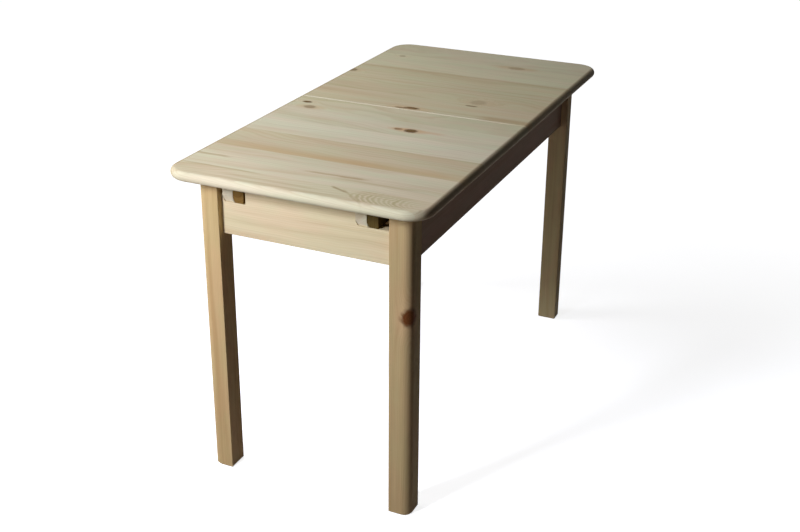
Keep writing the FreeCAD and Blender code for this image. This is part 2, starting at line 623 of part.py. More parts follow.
# ---------------------------------------------------------------------------------------------
# The two sliding halves of the top
# ---------------------------------------------------------------------------------------------
def local_x(sign, formula):
    """A place across the table, from the panel's own left edge."""
    return offset_by("top_width / 2", sign, formula)


def make_top_panel(label, sign):
    """One half of the top; its own y runs outward from the seam."""
    body = new_body(label)
    sketch = sketch_on(body, "XY_Plane")
    add_rectangle(sketch, "0", "0", "top_width", HALF_LENGTH)
    pad(body, sketch, "top_thickness")
    dress(body, "Fillet", "top_corner_radius",
          lambda edge, box: along(edge, "Z") and near(edge.CenterOfMass.y, box.YMax))
    dress(body, "Fillet", "(top_thickness - bullnose_flat) / 2",
          lambda edge, box: near(edge.BoundBox.ZLength, 0) and not near(edge.BoundBox.YMax, box.YMin))
    upper = "top_thickness"
    for corner in ([("0", "0"), ("seam_chamfer", "0"), ("0", "seam_chamfer")],
                   [("0", upper), ("seam_chamfer", upper), ("0", upper + " - seam_chamfer")]):
        chamfer = sketch_on(body, "YZ_Plane")
        add_polygon(chamfer, corner)
        pocket(body, chamfer, "all", True)
    radius = "pin_diameter / 2 + " + ("glue_play" if sign < 0 else "pin_play")
    depth = ("pin_length - pin_reach" if sign < 0 else "pin_reach") + " + hole_slack"
    drill(body, "XZ_Plane", "0", [(local_x(sign, x), "top_thickness / 2") for x in PIN_X], radius, depth)
    pilots = []
    for side in RUNNER_X:
        for y in RUNNER_SCREW_Y:
            pilots.append((local_x(sign, RUNNER_X[side] + " + rail_width / 2"),
                           "%s - (%s) + runner_setback - seam_gap / 2" % (RUNNER_LENGTH, y)))
    drill(body, "XY_Plane", "0", pilots, SCREW_HOLE, "runner_screw_bite + hole_slack", True)
    corner_x = "-top_width / 2" if sign > 0 else "top_width / 2"
    place(body, corner_x, signed(sign, "seam_gap / 2"), UNDERSIDE, Z_AXIS, 0.0 if sign > 0 else 180.0)


def make_runner(label, side, sign):
    """A tongued moulding under a top half, screwed up into it; its own y starts at the near end."""
    body = new_body(label)
    sketch = sketch_on(body, "XZ_Plane")
    moulding_section(sketch, "tongue_depth")
    pad(body, sketch, RUNNER_LENGTH, True)
    tongue = sketch_on(body, "XY_Plane", "tongue_rise")
    add_rectangle(tongue, "0", "0", "tongue_depth", RUNNER_LENGTH)
    pad(body, tongue, "tongue_height")
    middle = "tongue_depth + rail_width / 2"
    centres = [(middle, y) for y in RUNNER_SCREW_Y]
    drill(body, "XY_Plane", "0", centres, SCREW_HOLE, "all", True)
    seat = "rail_height - (runner_screw_length - runner_screw_bite)"
    drill(body, "XY_Plane", "0", centres, "counterbore / 2", seat, True)
    start = "-" + END_FACE if sign < 0 else "runner_setback"
    stop = offset_by(signed(sign, STOP_Y), -1, start)
    drill(body, "XY_Plane", "0", [(middle, stop)], "stop_diameter / 2 + glue_play",
          "stop_length - stop_reach + hole_slack", True)
    place(body, RUNNER_X[side] + " - tongue_depth", start, RUNNER_BASE)


def make_runner_fasteners(prefix, sign):
    """Screws and stop dowels of one half's two runners."""
    screws = []
    stops = []
    start = "-" + END_FACE if sign < 0 else "runner_setback"
    seat = "%s - (runner_screw_length - runner_screw_bite)" % UNDERSIDE
    for side in RUNNER_X:
        middle = RUNNER_X[side] + " + rail_width / 2"
        for i, y in enumerate(RUNNER_SCREW_Y):
            screws.append(wood_screw("%s_screw_%s_%d" % (prefix, side, i), "runner_screw_length",
                                     middle, "%s + %s" % (start, y), seat, Z_AXIS))
        stops.append(cylinder("%s_stop_%s" % (prefix, side), "stop_diameter / 2", "stop_length",
                              middle, signed(sign, STOP_Y), RUNNER_BASE + " - stop_reach", Z_AXIS))
    group(prefix + "_runner_screws", screws)
    group(prefix + "_stop_dowels", stops)


def make_seam_pins():
    """Locating pins glued in the near half, sliding in the far half."""
    level = UNDERSIDE + " + top_thickness / 2"
    start = "-seam_gap / 2 - (pin_length - pin_reach)"
    group("seam_pins", [cylinder("seam_pin_%d" % i, "pin_diameter / 2", "pin_length", x, start, level, Y_AXIS)
                        for i, x in enumerate(PIN_X)])


# ---------------------------------------------------------------------------------------------
# The insert leaf, stored on the bearers between the slides
# ---------------------------------------------------------------------------------------------
def make_leaf():
    """The leaf lies turned by a quarter: its length along Y, its jointed edges to the sides."""
    body = new_body("leaf_panel")
    sketch = sketch_on(body, "XY_Plane")
    add_rectangle(sketch, "0", "0", LEAF_WIDTH, "top_width")
    pad(body, sketch, "top_thickness")
    dress(body, "Fillet", "(top_thickness - bullnose_flat) / 2",
          lambda edge, box: along(edge, "X"))
    dress(body, "Chamfer", "leaf_arris",
          lambda edge, box: along(edge, "Y") and edge.BoundBox.YLength > box.YLength / 2)
    along_leaf = ["top_width / 2 + (%s)" % x for x in PIN_X]
    drill(body, "YZ_Plane", "0", [(y, "top_thickness / 2") for y in along_leaf],
          "pin_diameter / 2 + glue_play", "pin_length - pin_reach + hole_slack", True)
    drill(body, "YZ_Plane", LEAF_WIDTH, [(y, "top_thickness / 2") for y in along_leaf],
          "pin_diameter / 2 + pin_play", "pin_reach + hole_slack")
    place(body, LEAF_LEFT, "-top_width / 2", LEAF_BASE)
    group("leaf_pins", [cylinder("leaf_pin_%d" % i, "pin_diameter / 2", "pin_length",
                                 LEAF_LEFT + " - pin_reach", y, LEAF_BASE + " + top_thickness / 2", X_AXIS)
                        for i, y in enumerate(PIN_X)])


# ---------------------------------------------------------------------------------------------
# Assembly
# ---------------------------------------------------------------------------------------------
CORNERS = [(-1, -1), (1, -1), (1, 1), (-1, 1)]
CORNER_NAMES = ["near_left", "near_right", "far_right", "far_left"]

for turns, ((sign_x, sign_y), corner) in enumerate(zip(CORNERS, CORNER_NAMES)):
    make_leg("leg_" + corner, turns, sign_x, sign_y)
    make_corner_block("corner_block_" + corner, turns, sign_x, sign_y)
make_end_apron("end_apron_near", "-" + END_FACE, "-apron_thickness", True)
make_end_apron("end_apron_far", END_BACK, "0", False)
make_side_apron("side_apron_left", "-" + SIDE_FACE, "apron_thickness", False)
make_side_apron("side_apron_right", SIDE_BACK, "0", True)
for prefix, sign in (("near", -1), ("far", 1)):
    for bearer, row in BEARER_ROWS.items():
        make_bearer("%s_%s" % (bearer, prefix), sign, row)
    make_top_panel(prefix + "_top_panel", sign)
    for side in RAIL_X:
        make_runner("%s_runner_%s" % (prefix, side), side, sign)
    make_runner_fasteners(prefix, sign)
for side in RAIL_X:
    make_guide_rail("guide_rail_" + side, side)
make_frame_dowels()
make_corner_fasteners()
make_rail_screws()
make_seam_pins()
make_leaf()
doc.recompute()

# ---------------------------------------------------------------------------------------------
# Checks and export
# ---------------------------------------------------------------------------------------------
for thing in doc.Objects:
    if "Invalid" in thing.State or "Error" in thing.State:
        raise RuntimeError("%s (%s) did not build" % (thing.Label, thing.Name))
for thing in sub_parts:
    if thing.Shape.isNull() or not thing.Shape.isValid():
        raise RuntimeError(thing.Label + " has no valid shape")

os.makedirs("parts", exist_ok=True)
for thing in sub_parts:
    thing.Shape.exportStep(os.path.join("parts", thing.Label + ".step"))
    box = thing.Shape.BoundBox
    print("%-24s %2d solid(s) %10.1f mm3  x %7.1f %7.1f  y %7.1f %7.1f  z %6.1f %6.1f" % (
        thing.Label, len(thing.Shape.Solids), thing.Shape.Volume, box.XMin, box.XMax,
        box.YMin, box.YMax, box.ZMin, box.ZMax))
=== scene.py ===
import math

import bmesh
import bpy
from mathutils import Matrix, Vector


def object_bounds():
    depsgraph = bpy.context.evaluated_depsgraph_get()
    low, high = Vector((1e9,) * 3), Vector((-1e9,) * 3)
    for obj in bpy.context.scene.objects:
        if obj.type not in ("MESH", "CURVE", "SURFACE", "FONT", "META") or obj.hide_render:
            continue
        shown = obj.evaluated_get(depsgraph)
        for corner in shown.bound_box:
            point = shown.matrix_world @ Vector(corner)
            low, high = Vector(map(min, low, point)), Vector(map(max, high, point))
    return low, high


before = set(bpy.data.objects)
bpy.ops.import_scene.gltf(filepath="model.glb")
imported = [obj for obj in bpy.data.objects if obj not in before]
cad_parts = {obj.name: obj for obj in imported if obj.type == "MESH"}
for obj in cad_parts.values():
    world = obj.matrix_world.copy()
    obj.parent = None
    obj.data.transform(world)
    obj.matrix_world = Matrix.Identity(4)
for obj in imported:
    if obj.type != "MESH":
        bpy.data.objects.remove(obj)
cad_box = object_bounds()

# Looks of a small extending table in pine: materials of its wood and metal parts, studio and camera.
# The frame is that of the CAD model, in metres: X across, Y along, Z up, with the origin on the floor.
# The figure of the wood is written in millimetres, and MM turns it into metres.

MM = 0.001
HALF_WIDTH, HALF_LENGTH, TOP = [round(side / MM, 1) for side in cad_box[1]]      # millimetres


# ---------------------------------------------------------------------------------------------
# Node trees: one small builder for the materials and the world
# ---------------------------------------------------------------------------------------------
def colour(red, green, blue):
    """A display colour of 0 to 255 per channel as scene-linear RGBA."""
    def channel(value):
        value /= 255.0
        return value / 12.92 if value <= 0.04045 else ((value + 0.055) / 1.055) ** 2.4
    return channel(red), channel(green), channel(blue), 1.0


class Nodes:
    """A node tree, built with a call per node."""

    def __init__(self, tree):
        self.tree = tree

    def feed(self, socket, value):
        if isinstance(value, bpy.types.NodeSocket):
            self.tree.links.new(value, socket)
        else:
            socket.default_value = value

    def node(self, kind, inputs, **settings):
        made = self.tree.nodes.new("ShaderNode" + kind)
        for key, value in settings.items():
            setattr(made, key, value)
        for key, value in inputs.items():
            self.feed(made.inputs[key], value)
        return made

    def maths(self, operation, first, second=0.0, third=0.0):
        return self.node("Math", {0: first, 1: second, 2: third}, operation=operation).outputs[0]

    def product(self, first, *others):
        for other in others:
            first = self.maths("MULTIPLY", first, other)
        return first

    def diagonal(self, first, second):
        """The length of the long side over two that meet at a right angle."""
        squares = self.maths("ADD", self.product(first, first), self.product(second, second))
        return self.maths("SQRT", squares)

    def swing(self, value, size):
        """A value from 0 to 1 turned into half of `size` either way."""
        return self.maths("MULTIPLY_ADD", value, size, -0.5 * size)

    def vector(self, operation, first, second=(0.0, 0.0, 0.0)):
        made = self.node("VectorMath", {0: first, 1: second}, operation=operation)
        return made.outputs["Value" if operation in ("LENGTH", "DOT_PRODUCT") else "Vector"]

    def scaled(self, vector, amount):
        """A fixed vector times a varying amount."""
        return self.node("VectorMath", {0: vector, "Scale": amount}, operation="SCALE").outputs["Vector"]

    def split(self, vector):
        made = self.node("SeparateXYZ", {0: vector})
        return [made.outputs[i] for i in range(3)]

    def join(self, x, y, z):
        return self.node("CombineXYZ", {0: x, 1: y, 2: z}).outputs[0]

    def noise(self, vector, scale=1.0, detail=2.0, roughness=0.5):
        inputs = {"Vector": vector, "Scale": scale, "Detail": detail, "Roughness": roughness}
        return self.node("TexNoise", inputs).outputs["Fac"]

    def chance(self, number):
        """A fixed random value for each whole number."""
        return self.node("TexWhiteNoise", {"W": number}, noise_dimensions="1D").outputs["Value"]

    def step(self, value, low, high, low_out=0.0, high_out=1.0):
        """A smooth step from one output to the other."""
        inputs = {"Value": value, "From Min": low, "From Max": high, "To Min": low_out, "To Max": high_out}
        return self.node("MapRange", inputs, interpolation_type="SMOOTHSTEP").outputs["Result"]

    def fade(self, value, near, far, strength=1.0):
        """A smooth step down to nothing."""
        return self.step(value, near, far, strength, 0.0)

    def mix(self, amount, first, second, blend="MIX"):
        made = self.node("Mix", {"Factor": amount}, data_type="RGBA", blend_type=blend)
        self.feed(made.inputs[6], first)
        self.feed(made.inputs[7], second)
        return made.outputs[2]

    def tinted(self, body, tint):
        return self.mix(1.0, body, tint, "MULTIPLY")

    def table(self, value, stops):
        """A colour looked up in steps: each stop is (start, colour)."""
        made = self.node("ValToRGB", {"Fac": value})
        ramp = made.color_ramp
        ramp.interpolation = "CONSTANT"
        ramp.elements[0].position, ramp.elements[0].color = stops[0]
        ramp.elements[1].position, ramp.elements[1].color = stops[1] if len(stops) > 1 else (1.0, stops[0][1])
        for start, shade in stops[2:]:
            ramp.elements.new(start).color = shade
        return made.outputs["Color"]

    def shown(self):
        """1 for the rays that show the background: from the camera, off gloss and through glass."""
        rays = self.node("LightPath", {})
        seen = self.maths("MAXIMUM", rays.outputs["Is Camera Ray"], rays.outputs["Is Glossy Ray"])
        return self.maths("MAXIMUM", seen, rays.outputs["Is Transmission Ray"])


class Shader(Nodes):
    """The node tree of a new material."""

    def __init__(self, name):
        self.material = bpy.data.materials.new(name)
        self.material.use_nodes = True
        super().__init__(self.material.node_tree)
        self.surface = self.tree.nodes["Principled BSDF"]

    def place(self):
        """The place on the object, which is its place in the frame at rest."""
        return self.node("TexCoord", {}).outputs["Object"]


# ---------------------------------------------------------------------------------------------
# What a piece of pine is made of
# ---------------------------------------------------------------------------------------------
WHITE = colour(255, 255, 255)
EARLYWOOD = colour(222, 212, 184)
LATEWOOD = colour(190, 164, 122)
PALE_EARLY = colour(225, 211, 178)
PALE_LATE = colour(194, 168, 126)
KNOT_HEART = colour(76, 58, 28)
KNOT_RED = colour(122, 92, 50)
KNOT_BARK = colour(56, 42, 20)
KNOT_HALO = colour(204, 167, 124)
KNOT_RUST = colour(108, 48, 22)
END_GRAIN_AND_SHADE = colour(208, 198, 192)
ROSY = colour(255, 250, 247)
LEAFY = colour(251, 254, 248)

PITH_REACH = 0.8       # the pith of a board lies within this much of the board, both ways, in metres
TILT_REACH = 0.5       # the most that a board's rings lean along the grain, metre per metre


def packed(value, reach):
    """A number from -reach to reach as the 0 to 1 that a colour ramp holds."""
    return value / reach / 2 + 0.5


def unpacked(make, value, reach):
    return make.maths("MULTIPLY", make.maths("SUBTRACT", value, 0.5), 2 * reach)


class Board:
    """One board of a panel, from `start` to the next: tint, place of its pith, and its figure."""

    def __init__(self, start, tint, pith, seed, tilt=0.0, contrast=0.4):
        self.start = start
        self.tint = colour(*tint)
        self.pith = (packed(pith[0], PITH_REACH), packed(pith[1], PITH_REACH), seed, 1.0)
        self.figure = (packed(tilt, TILT_REACH), contrast, 0.0, 1.0)


class Knot:
    """A branch through the wood: its centre, its radii along and across the grain, and its axis.

    `dark`, `halo`, `ragged` and `rust` say how strong its tone, halo, uneven rim and red are."""

    def __init__(self, centre, radii, axis, dark=1.0, halo=1.0, ragged=0.5, rust=0.0):
        self.centre = Vector(centre) * MM
        self.radii = [radius * MM for radius in radii]
        self.axis = Vector(axis).normalized()
        self.dark = dark
        self.halo = halo
        self.ragged = ragged
        self.rust = rust


class Streak:
    """A soft stroke along the grain. It may end sharply at the joint to the board in front of it."""

    def __init__(self, middle, half_length, half_width, tone, strength, slope=0.0, joint=None, waver=1.0):
        self.middle = [value * MM for value in middle]
        self.half_length = half_length * MM
        self.half_width = half_width * MM
        self.tone = colour(*tone)
        self.strength = strength
        self.slope = slope
        self.joint = joint
        self.waver = waver


class Arches:
    """Nested arches where the surface runs out through the rings: the first one's tip, reach and depth."""

    def __init__(self, tip, half_width, length, depth, lean, ring, tone, strength):
        self.tip = [value * MM for value in tip]
        self.half_width = half_width * MM
        self.length = length * MM
        self.depth = depth * MM
        self.lean = lean
        self.ring = ring * MM
        self.tone = colour(*tone)
        self.strength = strength


# ---------------------------------------------------------------------------------------------
# Growth rings. Noise speeds are per metre, along and then across the grain.
# ---------------------------------------------------------------------------------------------
SEED_RANGE = 17.0              # how far apart the boards' seeds, from 0 to 1, lie in the noise
TRUNK_SPEED = (2.6, 6.0)       # slow, so that a trunk wanders over a board's length
TRUNK_WANDER = 0.022           # how far the rings wander off a true cylinder, in metres
LATEWOOD_STARTS = (0.25, 0.85)         # in shares of a year's growth
LATEWOOD_ENDS = (0.90, 1.0)
PALEST_YEAR = 0.2              # the strength of the palest year's line


def board_values(make, across, boards, span):
    """The tint, pith and figure of the board that lies at a place across the panel."""
    low, high = span
    position = make.maths("DIVIDE", make.maths("SUBTRACT", across, low * MM), (high - low) * MM)
    starts = [(board.start - low) / (high - low) for board in boards]
    columns = zip(*[(board.tint, board.pith, board.figure) for board in boards])
    return [make.table(position, list(zip(starts, column))) for column in columns]


def trunk_radius(make, cut, pith, tilt, seed, middle):
    """The distance from the pith of a trunk that is not quite straight nor quite round."""
    along, across, through = cut
    slow = make.join(make.maths("MULTIPLY", along, TRUNK_SPEED[0]),
                     make.maths("MULTIPLY_ADD", across, TRUNK_SPEED[1], seed),
                     make.maths("MULTIPLY", through, TRUNK_SPEED[1]))
    wander = make.swing(make.noise(slow, detail=3.0), TRUNK_WANDER)
    pith_across = make.maths("ADD", unpacked(make, pith[0], PITH_REACH), middle * MM)
    pith_deep = unpacked(make, pith[1], PITH_REACH)
    leaning = make.maths("MULTIPLY_ADD", along, unpacked(make, tilt, TILT_REACH), through)
    side = make.maths("SUBTRACT", across, pith_across)
    deep = make.maths("SUBTRACT", leaning, pith_deep)
    return make.maths("ADD", make.diagonal(side, deep), wander)


def ring_lines(make, radius, ring, seed):
    """Darker latewood bands, one per year of growth, each of its own strength."""
    turns = make.maths("DIVIDE", radius, ring * MM)
    phase = make.maths("FRACT", turns)
    year = make.maths("ADD", make.maths("FLOOR", turns), seed)
    bands = make.product(make.step(phase, *LATEWOOD_STARTS), make.fade(phase, *LATEWOOD_ENDS))
    strength = make.maths("MULTIPLY_ADD", make.chance(year), 1.0 - PALEST_YEAR, PALEST_YEAR)
    return make.product(bands, strength)


# ---------------------------------------------------------------------------------------------
# Knots. Distances are in radii of the knot, 1 at its rim.
# ---------------------------------------------------------------------------------------------
RIM_SPEED = 120.0              # unevenness of the rims, per metre
HALO_STRETCH = 2.0             # how much longer along the grain the halo is than the knot
HALO_EDGE = (0.8, 2.0)
HALO_STRENGTH = 0.42
HEART_RINGS = 24.0             # radians of the ring pattern in one radius
HEART_MIX = (0.22, 0.45)       # the swing and the middle of the mix of red and dark heart
BARK_EDGE = (0.62, 0.95)
BARK_STRENGTH = 0.85
KNOT_EDGE = (0.62, 1.25)
BEND_FALL = -0.7               # how fast the grain's bend round a knot dies away
BEND_SIZE = 0.9                # how far the rings are pushed aside, in the knot's radii across the grain


def knot_fields(make, place, grain, knots):
    """For each knot its distance, 1 at the rim, and a longer one for the halo."""
    if not knots:
        return []
    lengthwise = "XYZ".index(grain[0])
    bumps = make.noise(make.vector("MULTIPLY", place, (RIM_SPEED, RIM_SPEED, RIM_SPEED)), detail=3.0)
    fields = []
    for knot in knots:
        offset = make.vector("SUBTRACT", place, tuple(knot.centre))
        run = make.vector("DOT_PRODUCT", offset, tuple(knot.axis))
        flat = make.vector("SUBTRACT", offset, make.scaled(tuple(knot.axis), run))
        rough = make.swing(bumps, knot.ragged)
        distances = []
        for stretch in (1.0, HALO_STRETCH):
            scales = [1.0 / knot.radii[1]] * 3
            scales[lengthwise] = 1.0 / knot.radii[0] / stretch
            distance = make.vector("LENGTH", make.vector("MULTIPLY", flat, tuple(scales)))
            distances.append(make.maths("ADD", distance, rough))
        fields.append((knot, *distances))
    return fields


def bent_round_knots(make, radius, fields):
    for knot, near, wide in fields:
        bend = make.maths("EXPONENT", make.product(make.product(wide, wide), BEND_FALL))
        radius = make.maths("MULTIPLY_ADD", bend, BEND_SIZE * knot.radii[1], radius)
    return radius


def paint_knots(make, body, fields):
    """A ringed heart, dark bark at the rim, and a halo in the wood round it."""
    swing, middle = HEART_MIX
    for knot, near, wide in fields:
        body = make.mix(make.fade(wide, *HALO_EDGE, HALO_STRENGTH * knot.halo), body, KNOT_HALO)
        year = make.maths("SINE", make.maths("MULTIPLY", near, HEART_RINGS))
        heart = make.mix(make.maths("MULTIPLY_ADD", year, swing, middle), KNOT_RED, KNOT_HEART)
        heart = make.mix(make.step(near, *BARK_EDGE, 0.0, BARK_STRENGTH), heart, KNOT_BARK)
        heart = make.mix(knot.rust, heart, KNOT_RUST)
        body = make.mix(make.fade(near, *KNOT_EDGE, knot.dark), body, heart)
    return body


# ---------------------------------------------------------------------------------------------
# Streaks and arches on the surface
# ---------------------------------------------------------------------------------------------
STREAK_WAVER = 0.006           # metres that a streak strays sideways
STREAK_WAVER_SPEED = 16.0
STREAK_FIBRES = (9.0, 420.0)
STREAK_GAPS = (0.15, 0.6, 0.55)        # where the fibres break a streak up, and what is left of it there
STREAK_END = 0.5               # the shares of its half length and half width where a streak starts to fade
STREAK_SIDE = 0.15

ARCH_SPEED = (30.0, 60.0)
ARCH_WOBBLE = 0.004            # metres
ARCH_LINE_STARTS = (0.05, 0.5)         # in shares of the width of a ring
ARCH_LINE_ENDS = (0.6, 1.0)
ARCH_CONTRAST = (0.7, 0.45)    # the spread and the least of the lines' strength
ARCH_TIP_EDGE = 0.003          # metres over which the first arch comes in
ARCH_START = 0.004             # metres past the tip over which the lines start
ARCH_LENGTH_END = 0.6          # the shares of their length and half width where the arches start to fade
ARCH_WIDTH_END = 0.85


def paint_streaks(make, body, along, across, streaks):
    """Strokes of another tone, broken up by the fibres."""
    waver = make.noise(make.join(make.maths("MULTIPLY", along, STREAK_WAVER_SPEED), 0.0, 0.0), detail=1.0)
    fibres = make.noise(make.join(make.maths("MULTIPLY", along, STREAK_FIBRES[0]),
                                  make.maths("MULTIPLY", across, STREAK_FIBRES[1]), 0.0))
    broken = make.step(fibres, *STREAK_GAPS)
    for streak in streaks:
        run = make.maths("SUBTRACT", along, streak.middle[0])
        drift = make.swing(waver, STREAK_WAVER * streak.waver)
        off = make.maths("SUBTRACT", make.maths("SUBTRACT", across, streak.middle[1]), drift)
        off = make.maths("ABSOLUTE", make.maths("MULTIPLY_ADD", run, -streak.slope, off))
        reach = make.fade(make.maths("ABSOLUTE", run), STREAK_END * streak.half_length, streak.half_length)
        wide = make.fade(off, STREAK_SIDE * streak.half_width, streak.half_width)
        cover = make.product(reach, wide, broken)
        if streak.joint is not None:
            cover = make.product(cover, make.maths("GREATER_THAN", across, streak.joint * MM))
        body = make.mix(make.product(cover, streak.strength), body, streak.tone)
    return body


def paint_arches(make, body, along, across, arches):
    """Lines nested in each other, each of its own strength, that open away from the tip."""
    rough = make.noise(make.join(make.maths("MULTIPLY", along, ARCH_SPEED[0]),
                                 make.maths("MULTIPLY", across, ARCH_SPEED[1]), 0.0))
    for arch in arches:
        run = make.maths("SUBTRACT", along, arch.tip[0])
        off = make.maths("SUBTRACT", across, arch.tip[1])
        deep = make.maths("MULTIPLY_ADD", run, -arch.lean, arch.depth)
        radius = make.maths("ADD", make.diagonal(off, deep), make.swing(rough, ARCH_WOBBLE))
        turns = make.maths("DIVIDE", radius, arch.ring)
        phase = make.maths("FRACT", turns)
        strength = make.maths("MULTIPLY_ADD", make.chance(make.maths("FLOOR", turns)), *ARCH_CONTRAST)
        line = make.product(make.step(phase, *ARCH_LINE_STARTS), make.fade(phase, *ARCH_LINE_ENDS), strength)
        inside = make.fade(radius, arch.depth - ARCH_TIP_EDGE, arch.depth)
        reach = make.fade(run, ARCH_LENGTH_END * arch.length, arch.length)
        wide = make.fade(make.maths("ABSOLUTE", off), ARCH_WIDTH_END * arch.half_width, arch.half_width)
        ahead = make.step(run, 0.0, ARCH_START)
        cover = make.product(line, inside, reach, wide, ahead)
        body = make.mix(make.product(cover, arch.strength), body, arch.tone)
    return body


# ---------------------------------------------------------------------------------------------
# A finished piece of wood
# ---------------------------------------------------------------------------------------------
BAND_SPEED = (1.3, 70.0)       # broad streaks that follow the rings
BAND_EDGE = (0.42, 0.74)
BAND_STRENGTH = 0.5
FIBRE_SPEED = (7.0, 520.0)
FIBRE_SHADE = (0.22, 0.89)     # the spread and the least brightness
CLOUD_SPEED = (3.0, 10.0)
CLOUD_SHADE = 0.16
DRIFT_SPEED = (8.0, 24.0)      # slow drift between a rosy and a leafy tint
DRIFT_EDGE = (0.35, 0.65)
LATEWOOD_DEPTH = 0.8           # how far the darkest wood goes from the early to the late colour
ROUGHNESS = 0.6
FIBRE_ROUGHNESS = 0.18
RING_GLOSS = -0.07             # hard latewood takes a slightly better polish
RING_RELIEF = 0.4
FIBRE_RELIEF = 0.7
RELIEF_STRENGTH = 0.3
RELIEF_HEIGHT = 0.0004         # metres


def stretched(make, cut, speed):
    """A noise place that runs slowly along the grain and fast across it."""
    along, across, through = cut
    return make.join(make.maths("MULTIPLY", along, speed[0]), make.maths("MULTIPLY", across, speed[1]),
                     make.maths("MULTIPLY", through, speed[1]))


def bare_wood(make, cut, radius, rings, fibre, seed, contrast, shades):
    """Early and late wood by the rings, with bands, drifts of tint, fibres and clouds."""
    along, across, through = cut
    band_place = make.join(make.maths("MULTIPLY", along, BAND_SPEED[0]),
                           make.maths("MULTIPLY_ADD", radius, BAND_SPEED[1], seed), seed)
    band = make.step(make.noise(band_place, detail=4.0, roughness=0.65), *BAND_EDGE)
    cloud = make.noise(stretched(make, cut, CLOUD_SPEED), detail=3.0)
    drift_place = make.join(make.maths("MULTIPLY", along, DRIFT_SPEED[0]),
                            make.maths("MULTIPLY", across, DRIFT_SPEED[1]),
                            make.maths("MULTIPLY_ADD", through, DRIFT_SPEED[1], seed))
    drift = make.step(make.noise(drift_place), *DRIFT_EDGE)

    early, late, tints = shades
    amount = make.maths("ADD", make.product(rings, contrast), make.product(band, BAND_STRENGTH))
    body = make.mix(make.product(amount, LATEWOOD_DEPTH), early, late)
    body = make.tinted(body, tints)
    body = make.tinted(body, make.mix(drift, ROSY, LEAFY))
    shade = make.maths("ADD", make.maths("MULTIPLY_ADD", fibre, *FIBRE_SHADE), make.swing(cloud, CLOUD_SHADE))
    return make.tinted(body, make.join(shade, shade, shade))


def satin_surface(make, body, rings, fibre, shine):
    """A thin clear finish: fibres and rings show in its gloss and stand up a little."""
    gloss = make.maths("MULTIPLY_ADD", fibre, FIBRE_ROUGHNESS, ROUGHNESS - FIBRE_ROUGHNESS / 2)
    height = make.maths("MULTIPLY_ADD", rings, RING_RELIEF, make.product(fibre, FIBRE_RELIEF))
    bump = make.node("Bump", {"Height": height, "Strength": RELIEF_STRENGTH, "Distance": RELIEF_HEIGHT})
    make.feed(make.surface.inputs["Base Color"], body)
    make.feed(make.surface.inputs["Roughness"], make.maths("MULTIPLY_ADD", rings, RING_GLOSS, gloss))
    make.feed(make.surface.inputs["Normal"], bump.outputs["Normal"])
    make.surface.inputs["Specular IOR Level"].default_value = shine


def wood(name, grain, boards, span, knots=(), streaks=(), tone=(255, 255, 255), ring=3.2,
         early=EARLYWOOD, late=LATEWOOD, shine=0.04, arches=(), end_grain_and_shade=None):
    """Pine cut from a round trunk. `grain` names the axes along, across and through the board.

    `ring` is a year's growth, and `end_grain_and_shade` is where the darker ends, partly end grain and partly
    painted shade, start and where they are full, from the middle, all in millimetres."""
    make = Shader(name)
    place = make.place()
    parts = make.split(place)
    cut = [parts["XYZ".index(letter)] for letter in grain]
    along, across = cut[:2]

    tints, pith, figure = board_values(make, across, boards, span)
    pith = make.split(pith)
    figure = make.split(figure)
    seed = make.maths("MULTIPLY", pith[2], SEED_RANGE)
    radius = trunk_radius(make, cut, pith, figure[0], seed, sum(span) / 2)
    fields = knot_fields(make, place, grain, knots)
    radius = bent_round_knots(make, radius, fields)
    rings = ring_lines(make, radius, ring, seed)
    fibre = make.noise(stretched(make, cut, FIBRE_SPEED), detail=3.0, roughness=0.6)

    body = bare_wood(make, cut, radius, rings, fibre, seed, figure[1], (early, late, tints))
    body = make.tinted(body, colour(*tone))
    # darker ends of the boards: partly end grain, partly painted shade on the rims
    if end_grain_and_shade:
        reach = make.step(make.maths("ABSOLUTE", along), end_grain_and_shade[0] * MM, end_grain_and_shade[1] * MM)
        body = make.tinted(body, make.mix(reach, WHITE, END_GRAIN_AND_SHADE))
    if streaks:
        body = paint_streaks(make, body, along, across, streaks)
    if arches:
        body = paint_arches(make, body, along, across, arches)
    body = paint_knots(make, body, fields)
    satin_surface(make, body, rings, fibre, shine)
    return make.material


# ---------------------------------------------------------------------------------------------
# Zinc plate on the bolts and screws
# ---------------------------------------------------------------------------------------------
ZINC_DULL = colour(176, 178, 182)
ZINC_BRIGHT = colour(206, 205, 198)
MOTTLE_SPEED = 260.0           # per metre
MOTTLE_ROUGHNESS = (0.25, 0.2)         # the spread and the least roughness
GRIT_SPEED = 1400.0
GRIT_STRENGTH = 0.2
GRIT_HEIGHT = 0.0002           # metres


def zinc_plate(name):
    """Bright zinc plate with a slight mottle and a fine grit."""
    make = Shader(name)
    place = make.place()
    mottle = make.noise(place, MOTTLE_SPEED, 3.0)
    grit = make.noise(place, GRIT_SPEED)
    bump = make.node("Bump", {"Height": grit, "Strength": GRIT_STRENGTH, "Distance": GRIT_HEIGHT})
    make.feed(make.surface.inputs["Base Color"], make.mix(mottle, ZINC_DULL, ZINC_BRIGHT))
    make.feed(make.surface.inputs["Roughness"], make.maths("MULTIPLY_ADD", mottle, *MOTTLE_ROUGHNESS))
    make.feed(make.surface.inputs["Normal"], bump.outputs["Normal"])
    make.surface.inputs["Metallic"].default_value = 1.0
    return make.material


# ---------------------------------------------------------------------------------------------
# The two halves of the top: boards run across the table, edge to edge along Y (millimetres)
# ---------------------------------------------------------------------------------------------
STAIN = (168, 142, 100)
TAN = (194, 160, 112)
SEAM = 0.0
BULLNOSE_HIGHLIGHT_STRIP = 9.0           # a painted highlight: the near board is tinted whiter on the round of the edge
NEAR_TAN_JOINT = -405.0        # the near edge of the tan board
ACROSS = 420                   # the half length of a streak that runs right across the top
TOP_END_GRAIN_AND_SHADE = (HALF_WIDTH - 14, HALF_WIDTH - 7)     # end grain and painted shade darken the left and right rims
